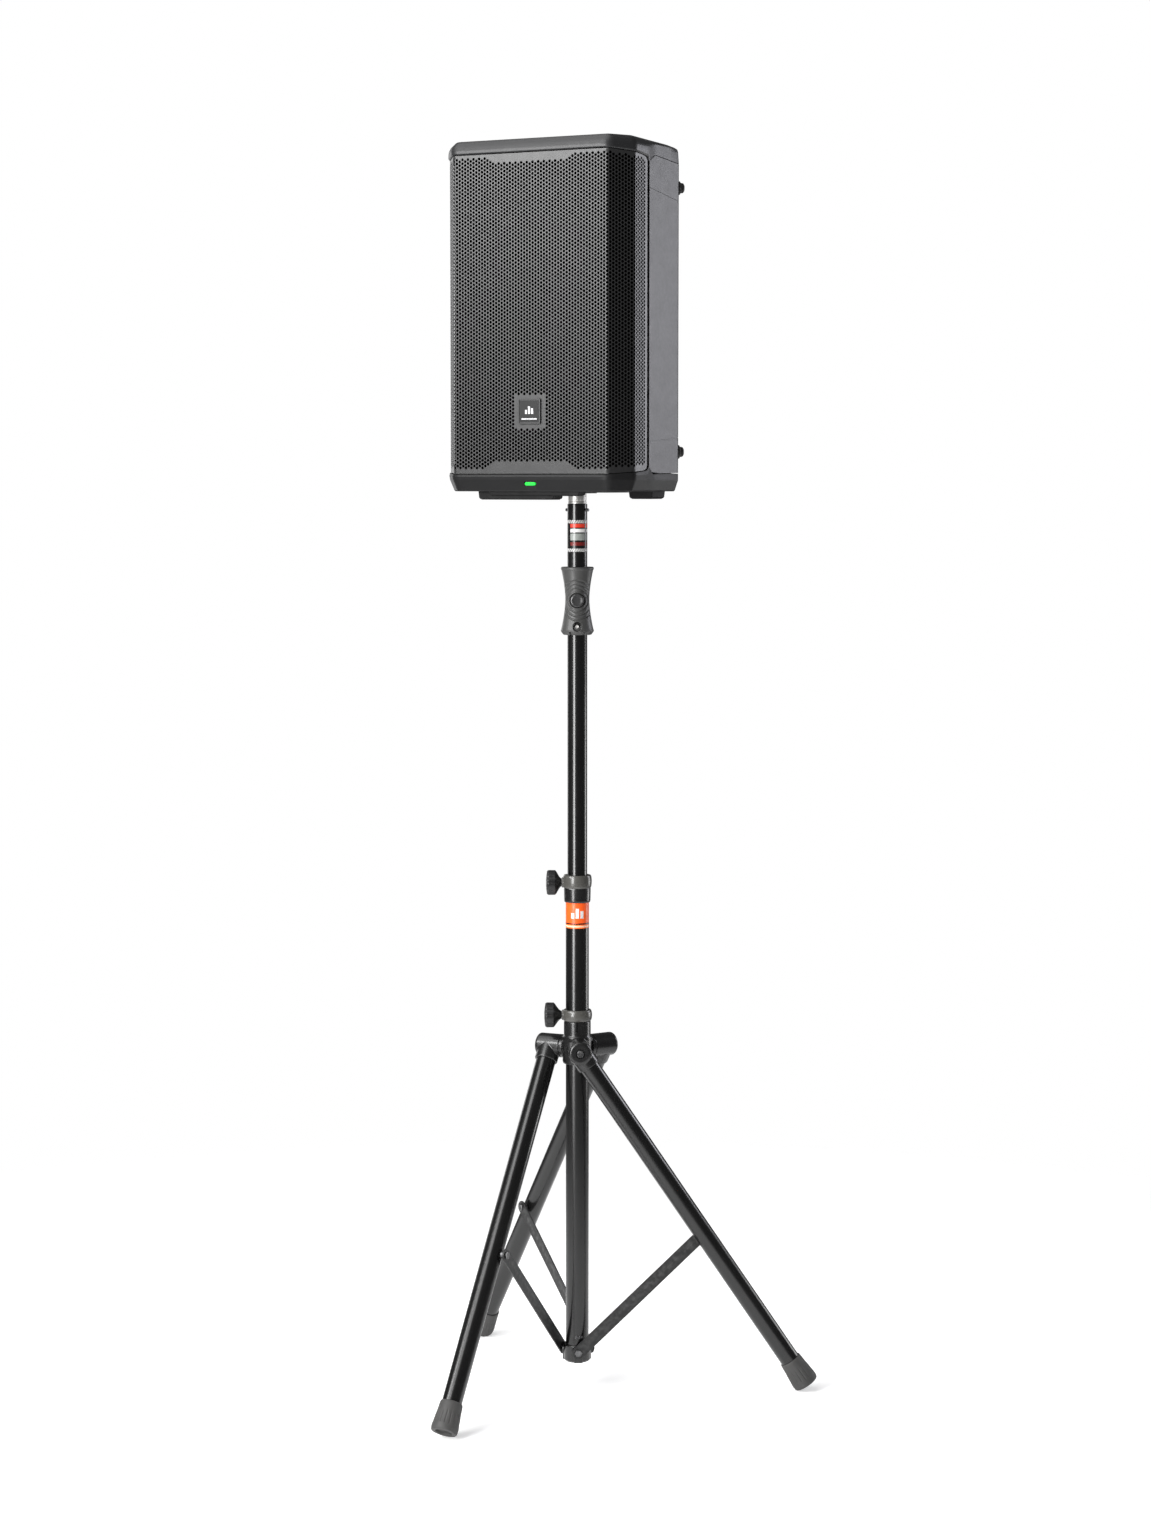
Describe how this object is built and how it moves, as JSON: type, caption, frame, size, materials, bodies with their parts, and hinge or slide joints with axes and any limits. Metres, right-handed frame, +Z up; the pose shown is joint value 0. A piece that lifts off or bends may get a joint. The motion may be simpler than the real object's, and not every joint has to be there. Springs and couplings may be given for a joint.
{
  "type": "pa speaker",
  "caption": "Two-way powered speaker cabinet with a wrapped perforated grille, on a folding tripod stand with a telescoping pole, hand grip and clamp knobs.",
  "frame": {"origin": "on the floor at the middle of the object's box; the pole stands a little behind it", "axes": "+Z up along the pole; the cabinet's grille faces -Y, +X is to the right as seen by someone facing the grille"},
  "size_m": [0.8146, 0.737, 2.3979],
  "materials": {
    "black_plastic": "moulded, slightly grained",
    "black_tube": "gloss black powder coat on steel tube",
    "cabinet_plastic": "charcoal moulded cabinet, fine grain",
    "cast_black": "satin charcoal paint on castings",
    "cast_frame": "black cast frame",
    "chrome": "bright plated steel",
    "display_glass": "clear window over a dark display",
    "gloss_black": "glossy moulding",
    "green_led": "lit green lens",
    "grille_steel": "perforated steel, dark grey powder coat",
    "grip_rubber": "dark grey moulded grip",
    "module_metal": "plain sheet metal",
    "panel_metal": "black painted aluminium plate",
    "paper_cone": "coated paper cone",
    "rubber": "moulded rubber",
    "zinc_steel": "black zinc plated steel"
  },
  "bodies": {
    "stand": {"column_tube": "black_tube", "upper_collar": "cast_black", "bottom_bracket": "cast_black", "gas_spring_rod": "chrome", "bracket_bolt_1": "zinc_steel", "bracket_bolt_2": "zinc_steel", "bracket_bolt_3": "zinc_steel"},
    "hub": {"leg_hub": "cast_black", "lower_collar": "cast_black", "leg_bolt_1": "zinc_steel", "leg_bolt_2": "zinc_steel", "leg_bolt_3": "zinc_steel"},
    "lower_knob": {"lower_knob": "black_plastic"},
    "upper_knob": {"upper_knob": "black_plastic"},
    "pole": {"inner_pole": "black_tube", "pole_bushing": "black_plastic", "gas_spring_cylinder": "zinc_steel", "spigot": "chrome", "cross_pin": "zinc_steel", "grip": "grip_rubber"},
    "grip_button": {"grip_button": "gloss_black"},
    "speaker": {"cabinet_shell": "cabinet_plastic", "front_baffle": "cabinet_plastic", "top_cap": "cabinet_plastic", "base_cap": "cabinet_plastic", "pole_cup": "black_plastic", "grille": "grille_steel", "grille_badge": "black_plastic", "power_led": "green_led", "top_handle": "black_plastic", "woofer_basket": "cast_frame", "woofer_magnet": "zinc_steel", "horn_flare": "black_plastic", "compression_driver": "zinc_steel", "amp_panel": "panel_metal", "amp_module": "module_metal", "display_window": "display_glass", "input_jack_1": "black_plastic", "input_jack_2": "black_plastic", "mains_inlet": "black_plastic"},
    "woofer_cone": {"woofer_cone": "paper_cone"},
    "menu_encoder": {"menu_encoder": "black_plastic"},
    "gain_knob_1": {"gain_knob_1": "black_plastic"},
    "gain_knob_2": {"gain_knob_2": "black_plastic"},
    "power_switch": {"power_switch": "black_plastic"},
    "leg_1": {"leg_knuckle_1": "cast_black", "leg_tube_1": "black_tube", "leg_foot_1": "rubber"},
    "brace_1": {"brace_1": "black_tube", "brace_bolt_1": "zinc_steel"},
    "leg_2": {"leg_knuckle_2": "cast_black", "leg_tube_2": "black_tube", "leg_foot_2": "rubber"},
    "brace_2": {"brace_2": "black_tube", "brace_bolt_2": "zinc_steel"},
    "leg_3": {"leg_knuckle_3": "cast_black", "leg_tube_3": "black_tube", "leg_foot_3": "rubber"},
    "brace_3": {"brace_3": "black_tube", "brace_bolt_3": "zinc_steel"}
  },
  "joints": [
    {"name": "hub_slide", "type": "slide", "parent": "stand", "child": "hub", "axis": [0, 0, 1], "range_m": [0, 0.178]},
    {"name": "leg_1_fold", "type": "hinge", "parent": "hub", "child": "leg_1", "pos_m": [0.0187, 0.04879, 0.67027], "axis": [-0.5592, 0.829, 0], "range_deg": [0, 31.02]},
    {"name": "brace_1_fold", "type": "hinge", "parent": "stand", "child": "brace_1", "pos_m": [0.00326, 0.07167, 0.07397], "axis": [0.5592, -0.829, 0], "range_deg": [0, 42.45]},
    {"name": "leg_2_fold", "type": "hinge", "parent": "hub", "child": "leg_2", "pos_m": [0.0116, 0.15021, 0.67027], "axis": [-0.4384, -0.8988, 0], "range_deg": [0, 31.02]},
    {"name": "brace_2_fold", "type": "hinge", "parent": "stand", "child": "brace_2", "pos_m": [-0.0005, 0.12541, 0.07397], "axis": [0.4384, 0.8988, 0], "range_deg": [0, 42.45]},
    {"name": "leg_3_fold", "type": "hinge", "parent": "hub", "child": "leg_3", "pos_m": [-0.07269, 0.09336, 0.67027], "axis": [0.9976, 0.0698, 0], "range_deg": [0, 31.02]},
    {"name": "brace_3_fold", "type": "hinge", "parent": "stand", "child": "brace_3", "pos_m": [-0.04515, 0.09529, 0.07397], "axis": [-0.9976, -0.0698, 0], "range_deg": [0, 42.45]},
    {"name": "upper_knob_turn", "type": "hinge", "parent": "stand", "child": "upper_knob", "pos_m": [-0.01413, 0.09745, 0.99157], "axis": [-0.866, -0.5, 0], "range_deg": [0, 540]},
    {"name": "lower_knob_turn", "type": "hinge", "parent": "hub", "child": "lower_knob", "pos_m": [-0.01413, 0.09745, 0.73337], "axis": [-0.866, -0.5, 0], "range_deg": [0, 540]},
    {"name": "pole_slide", "type": "slide", "parent": "stand", "child": "pole", "axis": [0, 0, 1], "range_m": [-0.455, 0.34]},
    {"name": "grip_button_press", "type": "slide", "parent": "pole", "child": "grip_button", "axis": [-0.5, 0.866, 0], "range_m": [0, 0.0028], "stiffness_N_per_m": 800},
    {"name": "speaker_swivel", "type": "hinge", "parent": "pole", "child": "speaker", "pos_m": [-0.01413, 0.09745, 1.81387], "axis": [0, 0, 1], "continuous": true},
    {"name": "woofer_cone_travel", "type": "slide", "parent": "speaker", "child": "woofer_cone", "axis": [0, -1, 0], "range_m": [-0.006, 0.006], "stiffness_N_per_m": 2500},
    {"name": "menu_encoder_turn", "type": "hinge", "parent": "speaker", "child": "menu_encoder", "pos_m": [-0.01413, 0.25645, 2.18887], "axis": [0, 1, 0], "continuous": true},
    {"name": "gain_knob_1_turn", "type": "hinge", "parent": "speaker", "child": "gain_knob_1", "pos_m": [-0.05213, 0.25645, 2.13387], "axis": [0, 1, 0], "range_deg": [-140, 140]},
    {"name": "gain_knob_2_turn", "type": "hinge", "parent": "speaker", "child": "gain_knob_2", "pos_m": [0.02387, 0.25645, 2.13387], "axis": [0, 1, 0], "range_deg": [-140, 140]},
    {"name": "power_switch_rock", "type": "hinge", "parent": "speaker", "child": "power_switch", "pos_m": [-0.05213, 0.25645, 1.88387], "axis": [1, 0, 0], "range_deg": [0, 12]}
  ],
  "couplings": [
    {"joint": "leg_1_fold", "follows": "hub_slide", "rad_per_m": 3.0396},
    {"joint": "brace_1_fold", "follows": "hub_slide", "rad_per_m": 4.16},
    {"joint": "leg_2_fold", "follows": "hub_slide", "rad_per_m": 3.0396},
    {"joint": "brace_2_fold", "follows": "hub_slide", "rad_per_m": 4.16},
    {"joint": "leg_3_fold", "follows": "hub_slide", "rad_per_m": 3.0396},
    {"joint": "brace_3_fold", "follows": "hub_slide", "rad_per_m": 4.16}
  ]
}
